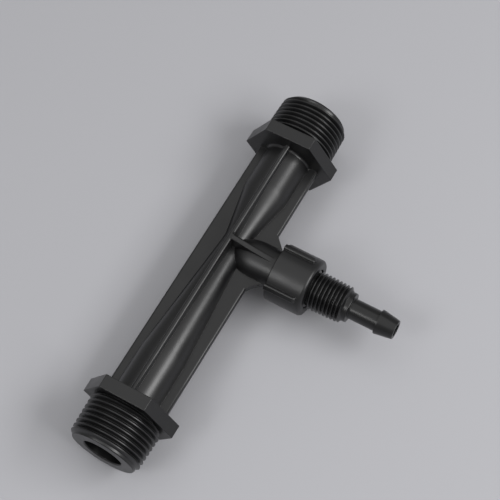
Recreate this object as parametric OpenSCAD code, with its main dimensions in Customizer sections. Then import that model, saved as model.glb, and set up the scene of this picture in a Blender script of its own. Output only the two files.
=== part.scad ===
// Venturi fertilizer injector for a three-quarter inch water line.
// Water runs along +X through a nozzle and a diffuser; the suction branch stands out along +Y.
// The origin is on the main axis, where the inlet thread meets the outer face of the inlet hexagon.

/* [Main line] */
// distance over the outer faces of both hexagons
body_span = 114.2; // [104:0.2:130]
// crest diameter of the pipe threads at the hexagons
thread_d = 26.9; // [25.6:0.1:28]
// distance from one thread crest to the next
thread_pitch = 1.814; // [1.5:0.001:2.2]
// depth of the pipe thread
thread_depth = 1.3; // [0.8:0.01:1.4]
// length over which a pipe thread narrows by one
thread_taper = 16; // [12:0.5:40]
// length from a hexagon to its end face
thread_len = 15.5; // [12:0.1:20]
// length of the tapered lead at each end face
lead_len = 1.8; // [1:0.1:2]
// outer diameter of the end faces
end_face_d = 23.8; // [22:0.1:24.4]
// bore at both end faces
port_d = 14.2; // [11:0.1:14.8]

/* [Hexagons] */
// width over the flats
hex_af = 30; // [29:0.1:36]
// thickness along the axis
hex_t = 4.8; // [4:0.1:7]

/* [Venturi tube] */
// outer diameter beside the hexagons
barrel_d = 17.2; // [16.6:0.1:19]
// straight length beside the inlet hexagon
inlet_barrel_len = 16.7; // [12:0.1:19]
// straight length beside the outlet hexagon
outlet_barrel_len = 17.9; // [12:0.1:30]
// outer diameter at the waist
waist_d = 9.8; // [9.2:0.1:11.4]
// straight length of the waist
waist_len = 2; // [1:0.1:3]
// distance of the waist ahead of the suction branch
waist_lead = 3; // [2:0.1:4]
// fillet where the tube meets a hexagon
barrel_fillet = 1; // [0.8:0.1:2]
// bore of the nozzle
throat_d = 4.4; // [3:0.1:4.8]
// distance from the nozzle's end to the suction hole
nozzle_gap = 0.5; // [0.3:0.1:1]
// bore where the diffuser starts
diffuser_d = 5.4; // [5:0.1:6]
// distance that the bore starts to narrow ahead of the tube
cone_lead = 3; // [2:0.1:5]
// distance that the diffuser runs on past the tube's cone
cone_trail = 8; // [4:0.5:12]

/* [Ribs] */
// thickness of the top and bottom ribs and the upright webs
rib_t = 2; // [1.9:0.1:2.6]
// thickness of the side plates and gussets
plate_t = 2.6; // [1.9:0.1:3.2]
// height of the top and bottom ribs from the axis
rib_h = 10.6; // [9.8:0.1:12]
// reach of the side plate away from the branch
plate_far = 11.5; // [10.5:0.05:12.5]
// reach of the side plate on the branch's side
plate_near = 12; // [10.5:0.05:12.5]
// rounding of the long rib edges
rib_round = 0.85; // [0.3:0.05:0.9]

/* [Suction branch] */
// distance of the branch axis from the origin
branch_x = 45; // [42:0.2:50]
// diameter of the stub
stub_d = 14.4; // [13:0.1:15]
// radius of the curve that narrows the stub towards the tube
stub_curve = 16; // [14:0.5:24]
// distance from the axis where that curve starts
stub_curve_y = 10.5; // [9:0.1:12]
// diameter of the stub's threaded end
stub_thread_d = 16.8; // [16.2:0.1:17]
// distance that the stub's thread starts inside the nut
thread_setback = 0.6; // [0.4:0.1:1]
// pitch of the thread under the nut
union_pitch = 1.5; // [1:0.05:1.8]
// depth of the thread under the nut
union_depth = 0.55; // [0.3:0.05:0.6]
// bore of the stub
chamber_d = 8.8; // [7:0.1:9.4]
// distance of the stub bore's bottom from the main axis
chamber_y = 9.5; // [8.5:0.1:12]
// hole from the stub bore into the diffuser
suction_d = 3; // [2:0.1:3.4]
// reach of the gussets along the branch
gusset_y = 16.2; // [14.5:0.1:17]
// run of the gussets along the side plates
gusset_run = 4.3; // [3:0.1:6]
// hollow of the gusset on the outlet side
gusset_hollow = 0.5; // [0.2:0.05:0.8]

/* [Union nut] */
// outer diameter between the grips
nut_d = 20.9; // [20.4:0.1:23]
// distance of the rear rim from the main axis
nut_y = 18.3; // [17.6:0.1:18.5]
// overall length
nut_len = 14; // [13.6:0.1:16]
// thickness of the front wall
nut_front = 2; // [1.6:0.1:2.4]
// rounding of the front rim
nut_round = 1.3; // [0.6:0.1:1.5]
// number of grip ribs
grip_count = 4; // [3:1:8]
// width of a grip rib
grip_w = 2.3; // [1.6:0.1:3.4]
// height of a grip rib above the nut
grip_h = 1.1; // [0.6:0.1:1.6]
// length of a grip rib
grip_len = 11.9; // [8:0.1:12.2]
// turn of the first grip rib away from the top
grip_turn = 58; // [0:1:89]

/* [Hose nipple] */
// thickness of the flange
flange_t = 2; // [1.5:0.1:2.5]
// crest diameter of the shank thread at the nut
shank_d = 14.05; // [13.6:0.05:14.4]
// distance from one shank crest to the next
shank_pitch = 1.411; // [1.2:0.001:1.6]
// depth of the shank thread
shank_depth = 1; // [0.5:0.05:1]
// length of the shank thread in front of the nut
shank_len = 12.7; // [9:0.1:16]
// length of the tapered lead of the shank thread
shank_lead = 0.7; // [0.5:0.1:1.2]
// diameter of the plain pilot in front of the thread
pilot_d = 10.7; // [9.5:0.1:11]
// length of the pilot
pilot_len = 1.7; // [1:0.1:3]
// diameter of the hose tail
tail_d = 7.4; // [6.6:0.1:8]
// length of the hose tail behind the barb
tail_len = 10.2; // [8:0.1:13]
// diameter of the barb
barb_d = 8.9; // [8.2:0.1:9.6]
// length of the barb
barb_len = 6.7; // [5:0.1:8]
// diameter of the tip
tip_d = 6.7; // [5.8:0.1:7]
// bore of the nipple
nipple_bore_d = 4.6; // [3.6:0.1:5]

/* [Seal washer] */
// thickness of the washer
seal_t = 1.5; // [1:0.1:2]
// rim of the washer inside the stub's edge
seal_inset = 0.2; // [0:0.05:0.4]

/* [Fits] */
// gap between the nut and the parts that it turns on
nut_clearance = 0.35; // [0.3:0.05:0.4]
// gap between the nut's front hole and the shank
shank_clearance = 0.32; // [0.3:0.02:0.4]

/* [Hidden] */
$fn = 96;
BLACK = "#2a2a2c";
RUBBER = "#1b1b1b";
OVERCUT = 1;
FLANK_ANGLE = 30;

thread_r = thread_d / 2;
port_r = port_d / 2;
barrel_r = barrel_d / 2;
waist_r = waist_d / 2;
stub_r = stub_d / 2;
stub_thread_r = stub_thread_d / 2;
nut_r = nut_d / 2;
shank_r = shank_d / 2;
taper_slope = 1 / (2 * thread_taper);

inlet_x = -thread_len;
outlet_x = body_span + thread_len;
tube_start = hex_t;
tube_end = body_span - hex_t;
inlet_cone_x = tube_start + inlet_barrel_len;
outlet_cone_x = tube_end - outlet_barrel_len;
waist_x = branch_x - waist_lead;
nozzle_end_x = branch_x - suction_d / 2 - nozzle_gap;

nut_bore_r = stub_thread_r + nut_clearance;
nut_hole_r = shank_r + shank_clearance;
nut_front_y = nut_y + nut_len;
flange_y = nut_front_y - nut_front - flange_t;
seal_y = flange_y - seal_t;
stub_end_y = seal_y;
stub_thread_y = nut_y + thread_setback;
shank_y = nut_front_y + nut_clearance;
shank_end_y = shank_y + shank_len;
tail_y = shank_end_y + pilot_len;
barb_y = tail_y + tail_len;
tip_y = barb_y + barb_len;

// Half the width of a groove at its bottom and at the crests, with crests as wide as the bottoms.
function half_root(pitch, depth) = (pitch - 2 * abs(depth) * tan(FLANK_ANGLE)) / 4;
function half_open(pitch, depth) = pitch / 2 - half_root(pitch, depth);

// Number of grooves that fit in a length, the first one centred on its start.
function groove_count(length, pitch, depth) = floor((length - half_open(pitch, depth)) / pitch) + 1;

// Ring grooves of a thread as profile points [radius, height], the first one centred on height z0,
// where the crests have radius r; slope is what the radius loses per length.
function thread_points(z0, count, pitch, r, depth, slope) = [
    for (i = [0 : count - 1])
        let (
            root = half_root(pitch, depth),
            open = half_open(pitch, depth)
        )
        for (step = [[-open, 0], [-root, depth], [root, depth], [open, 0]])
            [r - step[1] - slope * (i * pitch + step[0]), z0 + i * pitch + step[0]]
];

thread_grooves = groove_count(thread_len - lead_len, thread_pitch, thread_depth);
union_grooves = groove_count(stub_end_y - stub_thread_y - union_pitch - union_depth, union_pitch, union_depth);
shank_grooves = groove_count(shank_len - shank_lead, shank_pitch, shank_depth);

// Turns a profile drawn as [radius, height] about the main axis, height along +X.
module along_main() {
    rotate([0, 90, 0]) rotate_extrude() children();
}

// Turns a profile drawn as [radius, height] about the branch axis, height along +Y.
module along_branch() {
    translate([branch_x, 0, 0]) rotate([-90, 0, 0]) rotate_extrude() children();
}

// One threaded end, drawn from its hexagon outwards along +X.
module threaded_end() {
    lead_z = thread_len - lead_len;
    along_main() polygon(concat(
        [[0, -hex_t / 2], [thread_r, -hex_t / 2]],
        thread_points(0, thread_grooves, thread_pitch, thread_r, thread_depth, taper_slope),
        [[thread_r - taper_slope * lead_z, lead_z], [end_face_d / 2, thread_len], [0, thread_len]]
    ));
}

// Concave ring where the tube meets a hexagon, drawn from the hexagon along +X.
module root_fillet() {
    along_main() translate([barrel_r - OVERCUT, 0]) difference() {
        square([barrel_fillet + OVERCUT, barrel_fillet]);
        translate([barrel_fillet + OVERCUT, barrel_fillet]) circle(barrel_fillet);
    }
}

module hexagon(x) {
    translate([x, 0, 0]) rotate([0, 90, 0]) rotate([0, 0, 30])
        cylinder(h = hex_t, r = hex_af / sqrt(3), $fn = 6);
}

// Tube with a short inlet cone, a waist and a long outlet cone.
module waisted_tube() {
    along_main() polygon([
        [0, tube_start - hex_t / 2],
        [barrel_r, tube_start - hex_t / 2],
        [barrel_r, inlet_cone_x],
        [waist_r, waist_x - waist_len / 2],
        [waist_r, waist_x + waist_len / 2],
        [barrel_r, outlet_cone_x],
        [barrel_r, tube_end + hex_t / 2],
        [0, tube_end + hex_t / 2]
    ]);
    translate([tube_start, 0, 0]) root_fillet();
    translate([tube_end, 0, 0]) mirror([1, 0, 0]) root_fillet();
}

// Upright bar of thickness t from -low to high with rounded corners.
module rounded_bar(t, low, high) {
    translate([-t / 2, rib_round - low]) square([t, high + low - 2 * rib_round]);
    translate([rib_round - t / 2, -low]) square([t - 2 * rib_round, high + low]);
    for (side = [-1, 1], y = [rib_round - low, high - rib_round])
        translate([side * (t / 2 - rib_round), y]) circle(rib_round);
}

// Top and bottom ribs and both side plates, from hexagon to hexagon.
module long_ribs() {
    length = tube_end - tube_start + hex_t;
    translate([tube_start - hex_t / 2, 0, 0]) rotate([90, 0, 90]) linear_extrude(length) {
        rounded_bar(rib_t, rib_h, rib_h);
        rotate(-90) rounded_bar(plate_t, plate_far, plate_near);
    }
}

// Flat gussets that widen the side plate towards the stub: straight ahead of it, hollow behind it.
module side_gussets() {
    rise = gusset_y - plate_near;
    slope = rise / gusset_run;
    chord = norm([gusset_run, rise]);
    hollow_r = chord * chord / (8 * gusset_hollow) + gusset_hollow / 2;
    away = (hollow_r - gusset_hollow) / chord;
    middle = [stub_r + gusset_run / 2, plate_near + rise / 2];
    translate([branch_x, 0, -plate_t / 2]) linear_extrude(plate_t) difference() {
        polygon([
            [-stub_r - gusset_run, 0],
            [-stub_r - gusset_run, plate_near],
            [-stub_r, gusset_y],
            [OVERCUT - stub_r, gusset_y + OVERCUT * slope],
            [stub_r - OVERCUT, gusset_y + OVERCUT * slope],
            [stub_r, gusset_y],
            [stub_r + gusset_run, plate_near],
            [stub_r + gusset_run, 0]
        ]);
        translate(middle + away * [rise, gusset_run]) circle(hollow_r);
    }
}

// Upright webs that run from the top and bottom ribs down to the stub.
module upright_webs() {
    slope = (rib_h - stub_r) / (gusset_y - rib_t / 2);
    end_y = gusset_y + OVERCUT;
    end_z = stub_r - OVERCUT * slope;
    translate([branch_x - rib_t / 2, 0, 0]) rotate([90, 0, 90]) linear_extrude(rib_t) polygon([
        [0, -rib_h],
        [rib_t / 2, -rib_h],
        [end_y, -end_z],
        [end_y, end_z],
        [rib_t / 2, rib_h],
        [0, rib_h]
    ]);
}

// Stub that narrows in a curve towards the tube and ends in the thread for the nut.
module suction_stub() {
    along_branch() {
        intersection() {
            square([stub_r, stub_curve_y]);
            translate([stub_r - stub_curve, stub_curve_y]) circle(stub_curve);
        }
        polygon(concat(
            [[0, stub_curve_y], [stub_r, stub_curve_y], [stub_r, stub_thread_y], [stub_thread_r, stub_thread_y]],
            thread_points(stub_thread_y + union_pitch, union_grooves, union_pitch, stub_thread_r, union_depth, 0),
            [[stub_thread_r, stub_end_y - union_depth], [stub_thread_r - union_depth, stub_end_y], [0, stub_end_y]]
        ));
    }
}

// Flow path: inlet bore, nozzle, diffuser and outlet bore.
module flow_path() {
    throat_r = throat_d / 2;
    along_main() polygon([
        [0, inlet_x - OVERCUT],
        [port_r, inlet_x - OVERCUT],
        [port_r, inlet_cone_x - cone_lead],
        [throat_r, waist_x - waist_len / 2],
        [throat_r, nozzle_end_x],
        [diffuser_d / 2, nozzle_end_x],
        [port_r, outlet_cone_x + cone_trail],
        [port_r, outlet_x + OVERCUT],
        [0, outlet_x + OVERCUT]
    ]);
}

// Stub bore and the narrow hole from it into the diffuser.
module suction_path() {
    along_branch() polygon([
        [0, 0],
        [suction_d / 2, 0],
        [suction_d / 2, chamber_y],
        [chamber_d / 2, chamber_y],
        [chamber_d / 2, stub_end_y + OVERCUT],
        [0, stub_end_y + OVERCUT]
    ]);
}

module injector_body() {
    color(BLACK) difference() {
        union() {
            translate([body_span, 0, 0]) threaded_end();
            mirror([1, 0, 0]) threaded_end();
            hexagon(0);
            hexagon(tube_end);
            waisted_tube();
            long_ribs();
            side_gussets();
            upright_webs();
            suction_stub();
        }
        flow_path();
        suction_path();
    }
}

// Outer form of the nut as a profile: straight wall with a rounded front rim.
module nut_profile() {
    translate([0, nut_y]) square([nut_r, nut_len - nut_round]);
    translate([0, nut_y]) square([nut_r - nut_round, nut_len]);
    translate([nut_r - nut_round, nut_front_y - nut_round]) circle(nut_round);
}

// Grip ribs, cut to a profile that rounds down to the nut at their front ends.
module grips() {
    reach = nut_r + grip_h;
    intersection() {
        translate([branch_x, nut_y, 0]) rotate([-90, 0, 0]) linear_extrude(grip_len)
            for (i = [0 : grip_count - 1])
                rotate(grip_turn + i * 360 / grip_count) translate([-grip_w / 2, -reach])
                    square([grip_w, reach - nut_bore_r - OVERCUT]);
        along_branch() {
            translate([0, nut_y]) square([reach, grip_len - grip_h]);
            translate([0, nut_y]) square([nut_r, grip_len]);
            translate([nut_r, nut_y + grip_len - grip_h]) circle(grip_h);
        }
    }
}

module union_nut() {
    inner_y = nut_front_y - nut_front;
    color(BLACK) difference() {
        union() {
            along_branch() nut_profile();
            grips();
        }
        along_branch() polygon(concat(
            [[0, nut_y - OVERCUT], [nut_bore_r, nut_y - OVERCUT]],
            thread_points(stub_thread_y + union_pitch, union_grooves, union_pitch, nut_bore_r, -union_depth, 0),
            [[nut_bore_r, inner_y], [nut_hole_r, inner_y]],
            [[nut_hole_r, nut_front_y + OVERCUT], [0, nut_front_y + OVERCUT]]
        ));
    }
}

module hose_nipple() {
    bore_r = nipple_bore_d / 2;
    flange_end_y = flange_y + flange_t;
    lead_z = shank_len - shank_lead;
    color(BLACK) along_branch() polygon(concat(
        [[bore_r, flange_y], [stub_thread_r, flange_y], [stub_thread_r, flange_end_y], [shank_r, flange_end_y]],
        thread_points(shank_y, shank_grooves, shank_pitch, shank_r, shank_depth, taper_slope),
        [[shank_r - taper_slope * lead_z, shank_y + lead_z], [pilot_d / 2, shank_end_y], [pilot_d / 2, tail_y]],
        [[tail_d / 2, tail_y], [tail_d / 2, barb_y], [barb_d / 2, barb_y], [tip_d / 2, tip_y], [bore_r, tip_y]]
    ));
}

module seal_washer() {
    color(RUBBER) along_branch() translate([chamber_d / 2 + seal_inset, seal_y])
        square([stub_thread_r - chamber_d / 2 - 2 * seal_inset, seal_t]);
}

injector_body();
union_nut();
hose_nipple();
seal_washer();
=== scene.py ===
"""Looks of a venturi fertilizer injector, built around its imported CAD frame."""

import logging
import math
from dataclasses import dataclass, field, replace
from enum import Enum
from typing import Any, Sequence

import bmesh
import bpy
from mathutils import Matrix, Vector


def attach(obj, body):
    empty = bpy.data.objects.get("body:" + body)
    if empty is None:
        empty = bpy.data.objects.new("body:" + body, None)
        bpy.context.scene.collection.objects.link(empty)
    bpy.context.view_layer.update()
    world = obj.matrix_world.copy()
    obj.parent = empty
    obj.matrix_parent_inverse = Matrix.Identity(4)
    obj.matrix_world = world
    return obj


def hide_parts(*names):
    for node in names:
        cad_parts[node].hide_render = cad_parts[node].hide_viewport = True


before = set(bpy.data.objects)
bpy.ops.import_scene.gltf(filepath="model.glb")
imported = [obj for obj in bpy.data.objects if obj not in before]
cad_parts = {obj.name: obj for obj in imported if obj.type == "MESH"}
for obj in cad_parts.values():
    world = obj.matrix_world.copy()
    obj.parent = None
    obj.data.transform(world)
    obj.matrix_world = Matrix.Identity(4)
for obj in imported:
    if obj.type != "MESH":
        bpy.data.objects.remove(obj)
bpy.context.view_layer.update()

LOG = logging.getLogger("injector")

# Metres in a millimetre. Sizes are in millimetres unless they say otherwise.
MM = 0.001
# Points closer than this are one point, and points closer than this to a cut lie on it, both in metres.
WELD = 2e-6
ON_CUT = 1e-8
# Distance from a plane within which a rim's points lie in it.
RIM_MISS = 0.02
# Angle from which an edge between two faces is shaded sharp.
SHARP_DEG = 32.0
# Place of the suction branch along X.
BRANCH_X = 45.0
# Sockets of a colour mix by number, because several of them share a name.
MIX_FACTOR, MIX_FROM, MIX_TO, MIX_RESULT = 0, 6, 7, 2

Colour = tuple[float, float, float, float]
Point = tuple[float, float, float]
Band = tuple[float, float]
Profile = Sequence[tuple[float, float]]


class End(Enum):
    """Ends of the body, with the way that each points along X."""

    INLET = -1
    OUTLET = 1


class Axis(Enum):
    """Axes that a rim's plane can cross, with their numbers."""

    X = 0
    Z = 2


def linear(hex_colour: str) -> Colour:
    """Turns an sRGB colour into the linear values that the shaders take.

    Args:
        hex_colour: Six hex digits after a #.

    Returns:
        Red, green, blue and an alpha of one.
    """
    parts = [int(hex_colour[i:i + 2], 16) / 255 for i in (1, 3, 5)]
    r, g, b = (c / 12.92 if c <= 0.04045 else ((c + 0.055) / 1.055) ** 2.4 for c in parts)
    return (r, g, b, 1.0)


def add_node(
    tree: bpy.types.NodeTree,
    kind: str,
    inputs: dict[str | int, Any] | None = None,
    **settings: Any,
) -> bpy.types.Node:
    """Adds a node to a tree, with its settings, values and links.

    Args:
        tree: Node tree that takes the node.
        kind: Blender's type name of the node.
        inputs: Values by socket name or number; an output socket is linked.
        **settings: Attributes of the node itself.

    Returns:
        The new node.
    """
    node = tree.nodes.new(kind)
    for name, value in settings.items():
        setattr(node, name, value)
    for name, value in (inputs or {}).items():
        if isinstance(value, bpy.types.NodeSocket):
            tree.links.new(value, node.inputs[name])
        else:
            node.inputs[name].default_value = value
    return node


def blank_material(name: str) -> tuple[bpy.types.Material, bpy.types.NodeTree]:
    """Makes a material with an empty node tree.

    Args:
        name: Common name of the real material.

    Returns:
        The material and its tree.
    """
    material = bpy.data.materials.new(name)
    material.use_nodes = True
    material.node_tree.nodes.clear()
    return material, material.node_tree


@dataclass(frozen=True)
class MouldedPlastic:
    """Black plastic as it leaves a steel mould: satin, faintly clouded, with a fine grain.

    Edges are softened by edge_mm, and by rim_edge_mm where they lie further than rim_mm from the main axis.
    """

    name: str
    dark: str
    pale: str
    roughness: float
    spread: float
    grain_mm: float
    grain_height_mm: float
    ior: float = 1.55
    cloud_mm: float = 14.0
    cloud_low: float = 0.3
    cloud_high: float = 0.7
    edge_mm: float = 0.14
    rim_mm: float = 1000.0
    rim_fade_mm: float = 0.1
    rim_edge_mm: float = 0.45

    def make(self) -> bpy.types.Material:
        """Builds the node tree: clouded colour and gloss, fine grain, softened edges.

        Returns:
            The material.
        """
        material, tree = blank_material(self.name)
        place = add_node(tree, "ShaderNodeTexCoord").outputs["Object"]
        cloud = add_node(tree, "ShaderNodeTexNoise", {
            "Vector": place, "Scale": 1 / (self.cloud_mm * MM), "Detail": 3.0, "Roughness": 0.55,
        })
        grain = add_node(tree, "ShaderNodeTexNoise", {
            "Vector": place, "Scale": 1 / (self.grain_mm * MM), "Detail": 2.0, "Roughness": 0.6,
        })
        colour = add_node(tree, "ShaderNodeMix", {
            MIX_FACTOR: cloud.outputs["Fac"], MIX_FROM: linear(self.dark), MIX_TO: linear(self.pale),
        }, data_type="RGBA")
        gloss = add_node(tree, "ShaderNodeMapRange", {
            "Value": cloud.outputs["Fac"], "From Min": self.cloud_low, "From Max": self.cloud_high,
            "To Min": self.roughness - self.spread, "To Max": self.roughness + self.spread,
        })
        across = add_node(tree, "ShaderNodeVectorMath", {0: place, 1: (0.0, 1.0, 1.0)}, operation="MULTIPLY")
        away = add_node(tree, "ShaderNodeVectorMath", {0: across.outputs["Vector"]}, operation="LENGTH")
        edge = add_node(tree, "ShaderNodeMapRange", {
            "Value": away.outputs["Value"],
            "From Min": (self.rim_mm - self.rim_fade_mm) * MM, "From Max": self.rim_mm * MM,
            "To Min": self.edge_mm * MM, "To Max": self.rim_edge_mm * MM,
        })
        soft_edge = add_node(tree, "ShaderNodeBevel", {"Radius": edge.outputs["Result"]}, samples=6)
        bump = add_node(tree, "ShaderNodeBump", {
            "Height": grain.outputs["Fac"], "Strength": 1.0,
            "Distance": self.grain_height_mm * MM, "Normal": soft_edge.outputs["Normal"],
        })
        shader = add_node(tree, "ShaderNodeBsdfPrincipled", {
            "Base Color": colour.outputs[MIX_RESULT], "Roughness": gloss.outputs["Result"],
            "IOR": self.ior, "Normal": bump.outputs["Normal"],
        })
        add_node(tree, "ShaderNodeOutputMaterial", {"Surface": shader.outputs["BSDF"]})
        return material


@dataclass(frozen=True)
class PlainFloor:
    """Pale matt table top under the part, which takes its shadow."""

    name: str = "matt_laminate"
    colour: str = "#acacb0"
    roughness: float = 0.8
    specular: float = 0.2

    def make(self) -> bpy.types.Material:
        """Builds the node tree of the floor.

        Returns:
            The material.
        """
        material, tree = blank_material(self.name)
        shader = add_node(tree, "ShaderNodeBsdfPrincipled", {
            "Base Color": linear(self.colour), "Roughness": self.roughness, "Specular IOR Level": self.specular,
        })
        add_node(tree, "ShaderNodeOutputMaterial", {"Surface": shader.outputs["BSDF"]})
        return material


# The grain of all four is a few hundredths of a millimetre on the real mouldings, too fine to show,
# so it is drawn as coarse as grain_mm.

# Polypropylene from a smooth mould: satin black, with a broad soft highlight along the tube that
# changes with faint clouds of gloss, and a thin bright line on the corners of the hexagons.
BODY_FINISH = MouldedPlastic(
    "polypropylene_satin", dark="#09090a", pale="#0f0f10", roughness=0.36, spread=0.06,
    grain_mm=0.3, grain_height_mm=0.004, rim_mm=14.95,
)
# Polypropylene from a finely etched mould: dull black, a little paler than the body, with soft light on the rims.
NUT_FINISH = MouldedPlastic(
    "polypropylene_matt", dark="#0a0a0b", pale="#101011", roughness=0.37, spread=0.04,
    grain_mm=0.3, grain_height_mm=0.006,
)
# Polypropylene from a polished mould: as black as the body, with narrow highlights on thread and tail.
NIPPLE_FINISH = MouldedPlastic(
    "polypropylene_fine", dark="#09090a", pale="#0f0f10", roughness=0.27, spread=0.04,
    grain_mm=0.3, grain_height_mm=0.004, ior=1.49,
)
# Moulded nitrile rubber: dull charcoal with no clear highlight.
SEAL_FINISH = MouldedPlastic(
    "nitrile_rubber", dark="#121212", pale="#1c1c1c", roughness=0.7, spread=0.06,
    grain_mm=0.2, grain_height_mm=0.01,
)


@dataclass(frozen=True)
class Placing:
    """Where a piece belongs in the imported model."""

    node: str
    body: str
    slot: str


def branch_matrix() -> Matrix:
    """Gives the turn and shift from turning about Z to the branch, whose axis is +Y."""
    turn = Matrix(((0, 1, 0), (0, 0, 1), (1, 0, 0))).to_4x4()
    return Matrix.Translation((BRANCH_X * MM, 0, 0)) @ turn


def stored_mesh(name: str, bm: bmesh.types.BMesh) -> bpy.types.Mesh:
    """Stores a mesh and frees its editing form.

    Args:
        name: Name of the stored mesh.
        bm: Mesh to store; it is freed.

    Returns:
        The stored mesh.
    """
    mesh = bpy.data.meshes.new(name)
    bm.to_mesh(mesh)
    bm.free()
    return mesh


def shown_mesh(item: bpy.types.Object) -> bpy.types.Mesh:
    """Gives a copy of an object's mesh with its modifiers applied."""
    return bpy.data.meshes.new_from_object(item.evaluated_get(bpy.context.evaluated_depsgraph_get()))


def add_object(name: str, data: bpy.types.ID) -> bpy.types.Object:
    """Adds an object to the scene.

    Args:
        name: Name of the object.
        data: Its mesh, lamp or camera.

    Returns:
        The new object.
    """
    item = bpy.data.objects.new(name, data)
    bpy.context.scene.collection.objects.link(item)
    return item


def join_into(bm: bmesh.types.BMesh, other: bmesh.types.BMesh) -> None:
    """Adds a mesh to another.

    Args:
        bm: Mesh that grows.
        other: Mesh that is added; it is freed.
    """
    carrier = stored_mesh("carrier", other)
    bm.from_mesh(carrier)
    bpy.data.meshes.remove(carrier)


def rim_edges(bm: bmesh.types.BMesh, axis: Axis, place: float, band: Band) -> list[bmesh.types.BMEdge]:
    """Finds the open rim that lies in a plane across an axis, between two radii.

    Args:
        bm: Mesh to search.
        axis: Axis that the plane crosses.
        place: Place of the plane along it.
        band: Smallest and largest radius of the rim's points.

    Returns:
        The rim's edges.
    """
    inner, outer = band
    found = []
    for edge in bm.edges:
        if len(edge.link_faces) != 1:
            continue
        offsets = [vert.co.copy() for vert in edge.verts]
        on_plane = all(abs(offset[axis.value] / MM - place) < RIM_MISS for offset in offsets)
        for offset in offsets:
            offset[axis.value] = 0
        if on_plane and all(inner < offset.length / MM < outer for offset in offsets):
            found.append(edge)
    return found


def extrude_rim(
    bm: bmesh.types.BMesh, rim: list[bmesh.types.BMEdge],
) -> tuple[set[bmesh.types.BMVert], list[bmesh.types.BMEdge]]:
    """Extrudes an open rim, leaving the new ring on the old one.

    Args:
        bm: Mesh that holds the rim.
        rim: Edges of the rim.

    Returns:
        The points and the edges of the new ring.
    """
    new = bmesh.ops.extrude_edge_only(bm, edges=rim)["geom"]
    verts = {item for item in new if isinstance(item, bmesh.types.BMVert)}
    edges = [
        item for item in new
        if isinstance(item, bmesh.types.BMEdge) and all(vert in verts for vert in item.verts)
    ]
    return verts, edges


def carry_on(bm: bmesh.types.BMesh, rim: list[bmesh.types.BMEdge], profile: Profile) -> None:
    """Extrudes a round rim about Z along a turned profile.

    Args:
        bm: Mesh that holds the rim.
        rim: Edges of the rim.
        profile: Radius and height of each new ring.
    """
    for radius, height in profile:
        verts, rim = extrude_rim(bm, rim)
        for vert in verts:
            flat = vert.co.xy.normalized() * radius * MM
            vert.co = (flat.x, flat.y, height * MM)


def finish_piece(
    name: str, bm: bmesh.types.BMesh, finish: MouldedPlastic, place: Placing,
) -> bpy.types.Object:
    """Turns a mesh into a piece that stands for a CAD node.

    Args:
        name: Name of the piece.
        bm: Its closed mesh, in place; it is freed.
        finish: Its finish.
        place: Node that it stands for and body that carries it.

    Returns:
        The new object.
    """
    bmesh.ops.recalc_face_normals(bm, faces=bm.faces)
    if bm.calc_volume(signed=True) < 0:
        bmesh.ops.reverse_faces(bm, faces=bm.faces)
    mesh = stored_mesh(name, bm)
    mesh.shade_smooth()
    mesh.set_sharp_from_angle(angle=math.radians(SHARP_DEG))
    mesh.materials.append(finish.make())
    piece = add_object(name, mesh)
    piece.modifiers.new("even_normals", "WEIGHTED_NORMAL").keep_sharp = True
    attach(piece, place.body)
    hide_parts(place.node)
    return piece


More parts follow.
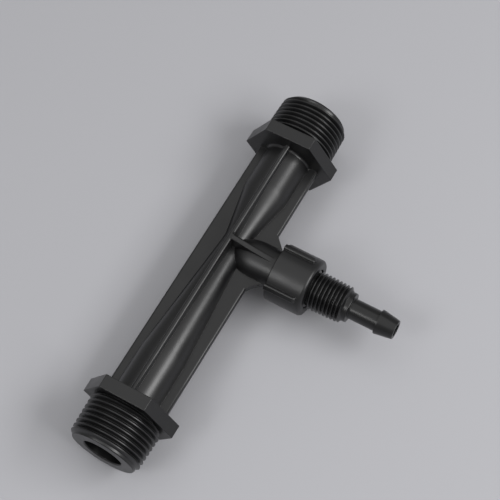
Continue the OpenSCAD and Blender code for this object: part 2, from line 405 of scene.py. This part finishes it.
@dataclass
class PipeThread:
    """Tapered screw thread about +Z, wound along its true right-handed helix; heights are along +Z."""

    crest_r: float
    depth: float
    pitch: float
    shoulder: float
    full_from: float
    lead_from: float
    lead_to: float
    end: float
    pilot_r: float
    groove_at: float
    root_half: float = 0.05
    crest_round: float = 0.1
    flank: float = math.radians(30)
    slope: float = 1 / 32
    edge: float = 0.25
    steps: int = 144

    def build(self) -> bmesh.types.BMesh:
        """Winds the profile into an open sleeve with a round rim at its shoulder and at its end.

        Returns:
            The sleeve.
        """
        crest_half = self.pitch / 2 - self.root_half - self.depth * math.tan(self.flank)
        lean = math.pi / 2 - self.flank
        flat_half = crest_half - self.crest_round * math.tan(lean / 2)
        # Points of a rounded crest: which of its two edges, and the turn round that edge.
        arc = [(-1, -lean), (-1, -lean / 2), (-1, 0.0), (1, 0.0), (1, lean / 2), (1, lean)]
        # The profile starts two turns before the shoulder, because the helix climbs a turn.
        first = self.groove_at - self.pitch * math.ceil((self.groove_at - self.shoulder) / self.pitch + 2)
        root_r = self.crest_r - self.depth
        bm = bmesh.new()
        chain: list[bmesh.types.BMVert] = []
        for i in range(math.ceil((self.end - first) / self.pitch) + 1):
            middle = first + i * self.pitch
            profile = [(root_r, middle - self.root_half), (root_r, middle + self.root_half)]
            profile += [
                (
                    self.crest_r - self.crest_round * (1 - math.cos(angle)),
                    middle + self.pitch / 2 + side * flat_half + self.crest_round * math.sin(angle),
                )
                for side, angle in arc
            ]
            chain += [bm.verts.new((radius * MM, 0, height * MM)) for radius, height in profile]
        edges = [bm.edges.new(pair) for pair in zip(chain, chain[1:])]
        bmesh.ops.spin(
            bm, geom=chain + edges, cent=(0, 0, 0), axis=(0, 0, 1), angle=math.tau, steps=self.steps,
            dvec=(0, 0, self.pitch * MM / self.steps), use_merge=False, use_duplicate=False,
        )
        bmesh.ops.remove_doubles(bm, verts=bm.verts, dist=WELD)
        for vert in bm.verts:
            self.trim(vert)
        bmesh.ops.remove_doubles(bm, verts=bm.verts, dist=WELD)
        bmesh.ops.dissolve_degenerate(bm, edges=bm.edges, dist=WELD)
        return bm

    def trim(self, vert: bmesh.types.BMVert) -> None:
        """Brings a point to the taper, the neck, the lead and the two rims.

        Args:
            vert: Point of the wound sleeve.
        """
        height = min(max(vert.co.z / MM, self.shoulder), self.end)
        loss = self.slope * (height - self.shoulder)
        radius = max(vert.co.xy.length / MM - loss, self.pilot_r)
        radius = min(radius, self.roof(height, self.crest_r - loss))
        flat = vert.co.xy.normalized() * radius * MM
        vert.co = (flat.x, flat.y, height * MM)

    def roof(self, height: float, crest_r: float) -> float:
        """Gives the largest radius at a height.

        Args:
            height: Height along the axis.
            crest_r: Radius of the crests there.

        Returns:
            Radius of the neck, the crests, the lead or the pilot.
        """
        rise = (height - self.shoulder) / (self.full_from - self.shoulder)
        fall = (height - self.lead_from) / (self.lead_to - self.lead_from)
        chamfer = max(0.0, height - self.end + self.edge)
        # The first half of the run-out is a plain neck, and the crests rise over the second half.
        neck = crest_r - self.depth * (1 - min(1.0, max(0.0, 2 * rise - 1)))
        lead = crest_r + (self.pilot_r - crest_r) * min(1.0, max(0.0, fall))
        return min(neck, lead) - chamfer


@dataclass
class InjectorBody:
    """Ribbed tube with its hexagons, taken from the solid, with wound threads on both ends."""

    place: Placing = Placing("injector_body", "injector", "body_plastic")
    span: float = 114.2
    port_r: float = 7.1
    port_edge: float = 0.35
    hex_t: float = 4.8
    hex_r: float = 14.9
    barrel_r: float = 8.6
    waist_r: float = 4.9
    cone_from: float = 21.5
    waist_from: float = 41.0
    waist_to: float = 43.0
    cone_to: float = 91.5
    fillet: float = 1.0
    stub_r: float = 7.2
    stub_curve: float = 16.0
    stub_curve_y: float = 10.5
    # Height of a groove's middle above each hexagon's outer face, at the top of the part.
    inlet_groove: float = 2.94
    outlet_groove: float = 1.92
    thread: PipeThread = field(default_factory=lambda: PipeThread(
        crest_r=13.45, depth=1.15, pitch=1.814, shoulder=0.0, full_from=1.0, lead_from=14.1,
        lead_to=14.9, end=15.5, pilot_r=11.9, groove_at=0.0,
    ))
    # Depth inside a hexagon's outer face at which the solid's end comes off.
    cut: float = 0.02
    # Radii between which the rims of a cut end lie: all of them, hexagon, thread and port.
    any_band: Band = (0.0, 30.0)
    hex_band: Band = (14.5, 18.0)
    thread_band: Band = (11.0, 13.0)
    port_band: Band = (6.0, 8.0)
    # Length over which the breaks of the tube's profile are eased, and how true a face has to be to its form.
    blend: float = 1.5
    form_miss: float = 0.06
    form_cos: float = 0.8
    flat_cos: float = 0.99995

    def build(self) -> bpy.types.Object:
        """Cuts the ring grooves off the solid's copy and puts the wound threads in their place.

        Returns:
            The dressed body.
        """
        bm = bmesh.new()
        bm.from_mesh(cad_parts[self.place.node].data)
        bmesh.ops.remove_doubles(bm, verts=bm.verts, dist=WELD)
        for end in End:
            self.thread_end(bm, end)
        # Rings of points where the tube's profile breaks, for the eased shading to run between.
        for centre in (self.cone_from, self.waist_from, self.waist_to, self.cone_to):
            for offset in (-self.blend, 0.0, self.blend):
                bmesh.ops.bisect_plane(
                    bm, geom=[*bm.verts, *bm.edges, *bm.faces], dist=ON_CUT,
                    plane_co=((centre + offset) * MM, 0, 0), plane_no=(1, 0, 0),
                )
        piece = finish_piece("venturi_body", bm, BODY_FINISH, self.place)
        self.true_normals(piece)
        return piece

    def thread_end(self, bm: bmesh.types.BMesh, end: End) -> None:
        """Replaces one end of the body.

        Args:
            bm: Mesh of the body.
            end: Which end.
        """
        side = end.value
        face, groove = (0.0, self.inlet_groove) if end is End.INLET else (self.span, self.outlet_groove)
        cut_at = face - side * self.cut
        bmesh.ops.bisect_plane(
            bm, geom=[*bm.verts, *bm.edges, *bm.faces], dist=ON_CUT, plane_co=(cut_at * MM, 0, 0),
            plane_no=(side, 0, 0), clear_outer=True,
        )
        for edge in rim_edges(bm, Axis.X, cut_at, self.any_band):
            for vert in edge.verts:
                vert.co.x = face * MM
        sleeve = replace(self.thread, groove_at=groove).build()
        turn = Matrix(((0, 0, side), (0, -side, 0), (1, 0, 0))).to_4x4()
        bmesh.ops.transform(sleeve, matrix=Matrix.Translation((face * MM, 0, 0)) @ turn, verts=sleeve.verts)
        join_into(bm, sleeve)
        outline = rim_edges(bm, Axis.X, face, self.hex_band)
        shoulder = rim_edges(bm, Axis.X, face, self.thread_band)
        bmesh.ops.triangle_fill(bm, edges=outline + shoulder, use_beauty=True)
        mouth = rim_edges(bm, Axis.X, face, self.port_band)
        tip = face + side * self.thread.end
        for reach, grow in ((tip - side * self.port_edge, 1.0), (tip, 1 + self.port_edge / self.port_r)):
            verts, mouth = extrude_rim(bm, mouth)
            for vert in verts:
                vert.co = (reach * MM, vert.co.y * grow, vert.co.z * grow)
        rim = rim_edges(bm, Axis.X, tip, self.thread_band)
        bmesh.ops.triangle_fill(bm, edges=mouth + rim, use_beauty=True)

    def true_normals(self, piece: bpy.types.Object) -> None:
        """Shades tube and stub by their own form and flat faces flat, whatever the solid's triangles.

        Args:
            piece: The body with its normals evened out by a modifier, which is taken off.
        """
        mesh = shown_mesh(piece)
        normals = [Vector(corner.vector) for corner in mesh.corner_normals]
        for face in mesh.polygons:
            points = [mesh.vertices[index].co for index in face.vertices]
            new = self.form_normals(face.normal, points)
            if new:
                normals[face.loop_start:face.loop_start + face.loop_total] = new
        mesh.normals_split_custom_set(normals)
        piece.modifiers.clear()
        piece.data = mesh

    def form_normals(self, normal: Vector, points: list[Vector]) -> list[Vector]:
        """Gives the outward directions of the form that a face belongs to.

        Args:
            normal: Outward direction of the face itself.
            points: Its corners.

        Returns:
            A direction for each corner, or none where the evened ones stay.
        """
        inside = all(-self.cut < point.x / MM < self.span + self.cut for point in points)
        on_hexagon = all(point.yz.length / MM > self.hex_r for point in points)
        if inside and (on_hexagon or max(abs(part) for part in normal) > self.flat_cos):
            return [normal.copy() for _ in points]
        for on_form, form_normal in ((self.on_tube, self.tube_normal), (self.on_stub, self.stub_normal)):
            if all(on_form(point) for point in points) and normal.dot(form_normal(points[0])) > self.form_cos:
                return [form_normal(point) for point in points]
        return []

    def tube_radius(self, along: float) -> float:
        """Gives the tube's radius: barrel, short cone, waist, long cone, barrel.

        Args:
            along: Place along X.

        Returns:
            The outer radius there.
        """
        narrow = self.barrel_r - self.waist_r
        inlet = narrow * (along - self.cone_from) / (self.waist_from - self.cone_from)
        outlet = narrow * (self.cone_to - along) / (self.cone_to - self.waist_to)
        return self.barrel_r - min(narrow, max(0.0, min(inlet, outlet)))

    def tube_normal(self, point: Vector) -> Vector:
        """Gives the tube's outward direction, eased over the breaks of its profile.

        Args:
            point: Point on the tube, in metres.

        Returns:
            The direction there.
        """
        along = point.x / MM
        rise = self.tube_radius(along + self.blend) - self.tube_radius(along - self.blend)
        around = Vector((0, point.y, point.z)).normalized()
        return (around - Vector((rise / (2 * self.blend), 0, 0))).normalized()

    def on_tube(self, point: Vector) -> bool:
        """Tells whether a point is on the outside of the tube, clear of the hexagons.

        Args:
            point: Point of the body, in metres.

        Returns:
            Whether it is.
        """
        along = point.x / MM
        clear = min(along, self.span - along) > self.hex_t + self.fillet - self.cut
        return clear and abs(point.yz.length / MM - self.tube_radius(along)) < self.form_miss

    def stub_normal(self, point: Vector) -> Vector:
        """Gives the branch stub's outward direction, on the curve of its foot too.

        Args:
            point: Point on the stub, in metres.

        Returns:
            The direction there.
        """
        around = Vector((point.x - BRANCH_X * MM, 0, point.z)).normalized()
        dip = max(0.0, self.stub_curve_y - point.y / MM) / self.stub_curve
        return around * math.sqrt(1 - dip * dip) - Vector((0, dip, 0))

    def on_stub(self, point: Vector) -> bool:
        """Tells whether a point is on the outside of the branch stub.

        Args:
            point: Point of the body, in metres.

        Returns:
            Whether it is.
        """
        away = math.hypot(point.x / MM - BRANCH_X, point.z / MM)
        drop = max(0.0, self.stub_curve_y - point.y / MM)
        radius = self.stub_r - self.stub_curve + math.sqrt(max(0.0, self.stub_curve ** 2 - drop ** 2))
        return point.y > 0 and abs(away - radius) < self.form_miss


@dataclass
class UnionNut:
    """Round nut with a rounded front rim and four grip ribs."""

    place: Placing = Placing("union_nut", "nut", "nut_plastic")
    rear: float = 18.3
    front: float = 32.3
    outer_r: float = 10.45
    rim_round: float = 1.3
    rim_step_deg: int = 15
    bore_r: float = 8.75
    hole_r: float = 7.345
    inner: float = 30.3
    edge: float = 0.25
    # Thread grooves in the bore: depth, spacing, number, set-back, and half widths at mouth and floor.
    groove: float = 0.55
    groove_pitch: float = 1.5
    groove_count: int = 4
    groove_set: float = 0.6
    groove_mouth: float = 0.53
    groove_floor: float = 0.2
    # Grip ribs: number, turn in degrees, size, rounding, how far they reach into the nut, and the sharpest
    # bend, in degrees, that their rounded tops leave alone.
    grip_count: int = 4
    grip_turn: float = 58.0
    grip_w: float = 2.3
    grip_h: float = 1.1
    grip_len: float = 11.9
    grip_round: float = 0.55
    grip_root: float = 1.0
    crown_deg: float = 50.0
    steps: int = 144

    def build(self) -> bpy.types.Object:
        """Turns the nut, joins the grips to it and puts it on the branch.

        Returns:
            The dressed nut.
        """
        nut = add_object("nut", self.turned())
        grips = add_object("grips", self.grips())
        union = nut.modifiers.new("union", "BOOLEAN")
        union.operation, union.solver, union.object = "UNION", "EXACT", grips
        bm = bmesh.new()
        bm.from_mesh(shown_mesh(nut))
        bmesh.ops.dissolve_degenerate(bm, edges=bm.edges, dist=WELD)
        for item in (nut, grips):
            bpy.data.objects.remove(item)
        bmesh.ops.transform(bm, matrix=branch_matrix(), verts=bm.verts)
        return finish_piece("union_nut_skin", bm, NUT_FINISH, self.place)

    def turned(self) -> bpy.types.Mesh:
        """Spins the nut's profile about Z.

        Returns:
            The mesh of the nut without its grips.
        """
        arc = [math.radians(angle) for angle in range(0, 91, self.rim_step_deg)]
        profile = [(self.outer_r - self.edge, self.rear), (self.outer_r, self.rear + self.edge)]
        profile += [
            (self.outer_r - self.rim_round * (1 - math.cos(a)), self.front - self.rim_round * (1 - math.sin(a)))
            for a in arc
        ]
        profile += [(self.hole_r + self.edge, self.front), (self.hole_r, self.front - self.edge)]
        profile += [(self.hole_r, self.inner), (self.bore_r, self.inner)]
        for i in range(self.groove_count, 0, -1):
            middle = self.rear + self.groove_set + i * self.groove_pitch
            profile += [
                (self.bore_r, middle + self.groove_mouth), (self.bore_r + self.groove, middle + self.groove_floor),
                (self.bore_r + self.groove, middle - self.groove_floor), (self.bore_r, middle - self.groove_mouth),
            ]
        profile += [(self.bore_r, self.rear + self.edge), (self.bore_r + self.edge, self.rear)]
        bm = bmesh.new()
        ring = [bm.verts.new((radius * MM, 0, height * MM)) for radius, height in profile]
        edges = [bm.edges.new(pair) for pair in zip(ring, ring[1:] + ring[:1])]
        bmesh.ops.spin(
            bm, geom=ring + edges, cent=(0, 0, 0), axis=(0, 0, 1), angle=math.tau, steps=self.steps,
            use_merge=True, use_duplicate=False,
        )
        bmesh.ops.remove_doubles(bm, verts=bm.verts, dist=WELD)
        bmesh.ops.recalc_face_normals(bm, faces=bm.faces)
        return stored_mesh("nut", bm)

    def grips(self) -> bpy.types.Mesh:
        """Makes the grip ribs: bars with rounded tops and a rounded front end.

        Returns:
            The mesh of all the ribs.
        """
        bm = bmesh.new()
        bar = bmesh.ops.create_cube(bm, size=1.0)["verts"]
        size = (self.grip_h + self.grip_root, self.grip_w, self.grip_len)
        bmesh.ops.scale(bm, vec=[part * MM for part in size], verts=bar)
        middle = (self.outer_r + (self.grip_h - self.grip_root) / 2, 0, self.rear + self.grip_len / 2)
        bmesh.ops.translate(bm, vec=[part * MM for part in middle], verts=bar)
        past_rear = self.rear + self.grip_h
        front = [
            edge for edge in bm.edges
            if all(vert.co.x / MM > self.outer_r and vert.co.z / MM > past_rear for vert in edge.verts)
        ]
        bmesh.ops.bevel(
            bm, geom=front, offset=self.grip_h * MM, offset_type="OFFSET", segments=6, profile=0.5,
            affect="EDGES", material=-1,
        )
        crown = [
            edge for edge in bm.edges
            if edge.calc_face_angle(0.0) > math.radians(self.crown_deg)
            and all(vert.co.x / MM > self.outer_r - self.grip_root / 2 for vert in edge.verts)
            and any(vert.co.z / MM > past_rear for vert in edge.verts)
        ]
        bmesh.ops.bevel(
            bm, geom=crown, offset=self.grip_round * MM, offset_type="OFFSET", segments=4, profile=0.5,
            affect="EDGES", material=-1,
        )
        bmesh.ops.rotate(
            bm, cent=(0, 0, 0), matrix=Matrix.Rotation(math.radians(self.grip_turn), 3, "Z"), verts=bm.verts,
        )
        bmesh.ops.spin(
            bm, geom=[*bm.verts, *bm.edges, *bm.faces], cent=(0, 0, 0), axis=(0, 0, 1),
            angle=math.tau * (1 - 1 / self.grip_count), steps=self.grip_count - 1, use_duplicate=True,
        )
        bmesh.ops.recalc_face_normals(bm, faces=bm.faces)
        return stored_mesh("grips", bm)


@dataclass
class HoseNipple:
    """Turned nipple: flange, neck, wound thread, pilot, hose tail and barb round one bore."""

    place: Placing = Placing("hose_nipple", "nipple", "nipple_plastic")
    thread: PipeThread = field(default_factory=lambda: PipeThread(
        crest_r=7.025, depth=0.88, pitch=1.411, shoulder=32.0, full_from=33.2, lead_from=44.7,
        lead_to=45.4, end=47.05, pilot_r=5.35, groove_at=33.98, edge=0.15, steps=96,
    ))
    # Radii between which the sleeve's two rims lie.
    shoulder_band: Band = (5.5, 7.0)
    end_band: Band = (4.5, 5.5)
    # Radius and height of each ring, from the thread's shoulder in to the bore, and from its end out and back.
    neck: Profile = ((7.0, 31.9), (7.0, 30.3), (8.4, 30.3), (8.4, 28.3), (2.3, 28.3))
    tail: Profile = (
        (3.9, 47.05), (3.72, 47.2), (3.7, 47.4), (3.7, 57.1), (3.75, 57.25), (4.3, 57.25), (4.42, 57.32),
        (4.45, 57.5), (4.4, 58.0), (3.5, 63.6), (3.42, 63.85), (3.25, 63.95), (2.5, 63.95), (2.3, 63.75),
        (2.3, 28.3),
    )

    def build(self) -> bpy.types.Object:
        """Winds the thread and turns the rest on from both of its rims.

        Returns:
            The dressed nipple.
        """
        bm = self.thread.build()
        carry_on(bm, rim_edges(bm, Axis.Z, self.thread.shoulder, self.shoulder_band), self.neck)
        carry_on(bm, rim_edges(bm, Axis.Z, self.thread.end, self.end_band), self.tail)
        bmesh.ops.remove_doubles(bm, verts=bm.verts, dist=WELD)
        bmesh.ops.transform(bm, matrix=branch_matrix(), verts=bm.verts)
        return finish_piece("barbed_nipple", bm, NIPPLE_FINISH, self.place)


@dataclass
class SealWasher:
    """Flat rubber washer between the stub and the nipple; the solid's own shape is right."""

    node: str = "seal_washer"

    def dress(self) -> bpy.types.Object:
        """Gives the washer its rubber.

        Returns:
            The node's own object.
        """
        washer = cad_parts[self.node]
        washer.data.materials.clear()
        washer.data.materials.append(SEAL_FINISH.make())
        return washer


@dataclass
class Lamp:
    """One soft area lamp, given by its place and the point that it faces, in metres, and its power in watts."""

    name: str
    place: Point
    facing: Point
    size: tuple[float, float]
    power: float

    def build(self) -> None:
        """Adds the lamp to the scene."""
        data = bpy.data.lights.new(self.name, "AREA")
        data.shape = "RECTANGLE"
        data.size, data.size_y = self.size
        data.energy = self.power
        lamp = add_object(self.name, data)
        lamp.location = self.place
        aim = Vector(self.facing) - Vector(self.place)
        lamp.rotation_euler = aim.to_track_quat("-Z", "Y").to_euler()


@dataclass
class Studio:
    """Pale floor, soft light and the camera at the photograph's angle; places are in metres."""

    floor_z: float = -15 * MM
    floor_size: float = 4.0
    camera_place: Point = (218.687 * MM, 130.961 * MM, 438.589 * MM)
    camera_right: Point = (-0.49667, 0.86662, -0.04786)
    camera_down: Point = (0.78951, 0.42820, -0.43968)
    lens_mm: float = 101.12
    sensor_mm: float = 36.0
    dome: str = "#ffffff"
    dome_strength: float = 0.33
    lamps: list[Lamp] = field(default_factory=lambda: [
        Lamp("softbox", (-0.05, 0.69, 0.62), (0.05, 0.0, 0.0), (0.75, 0.3), 5.9),
        Lamp("ceiling", (0.05, 0.0, 1.0), (0.05, 0.0, 0.0), (1.6, 1.6), 4.7),
        Lamp("spot", (0.64, -0.25, 0.68), (0.05, 0.0, 0.0), (0.32, 0.32), 1.6),
    ])

    def build(self) -> None:
        """Builds the floor, the lamps, the dome and the camera."""
        self.build_floor()
        for lamp in self.lamps:
            lamp.build()
        self.build_dome()
        self.build_camera()
        bpy.context.scene.view_settings.view_transform = "Standard"

    def build_floor(self) -> None:
        """Adds the floor that the hexagons lie on."""
        bm = bmesh.new()
        bmesh.ops.create_grid(bm, x_segments=1, y_segments=1, size=self.floor_size / 2)
        bmesh.ops.translate(bm, verts=bm.verts, vec=(0, 0, self.floor_z))
        mesh = stored_mesh("floor", bm)
        mesh.materials.append(PlainFloor().make())
        add_object("floor", mesh)

    def build_dome(self) -> None:
        """Sets the even light from all round."""
        world = bpy.data.worlds.new("dome")
        world.use_nodes = True
        world.node_tree.nodes.clear()
        light = add_node(world.node_tree, "ShaderNodeBackground", {
            "Color": linear(self.dome), "Strength": self.dome_strength,
        })
        add_node(world.node_tree, "ShaderNodeOutputWorld", {"Surface": light.outputs["Background"]})
        bpy.context.scene.world = world

    def build_camera(self) -> None:
        """Adds the camera and makes it the scene's own."""
        data = bpy.data.cameras.new("camera")
        data.sensor_width = self.sensor_mm
        data.lens = self.lens_mm
        right = Vector(self.camera_right).normalized()
        up = -Vector(self.camera_down).normalized()
        turn = Matrix((right, up, right.cross(up))).transposed()
        camera = add_object("camera", data)
        camera.matrix_world = Matrix.Translation(self.camera_place) @ turn.to_4x4()
        bpy.context.scene.camera = camera


def main() -> None:
    """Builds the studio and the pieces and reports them."""
    Studio().build()
    for piece in (InjectorBody().build(), UnionNut().build(), HoseNipple().build(), SealWasher().dress()):
        LOG.info("%s: %d faces", piece.name, len(piece.data.polygons))


if __name__ == "__main__":
    logging.basicConfig(level=logging.INFO)
    main()
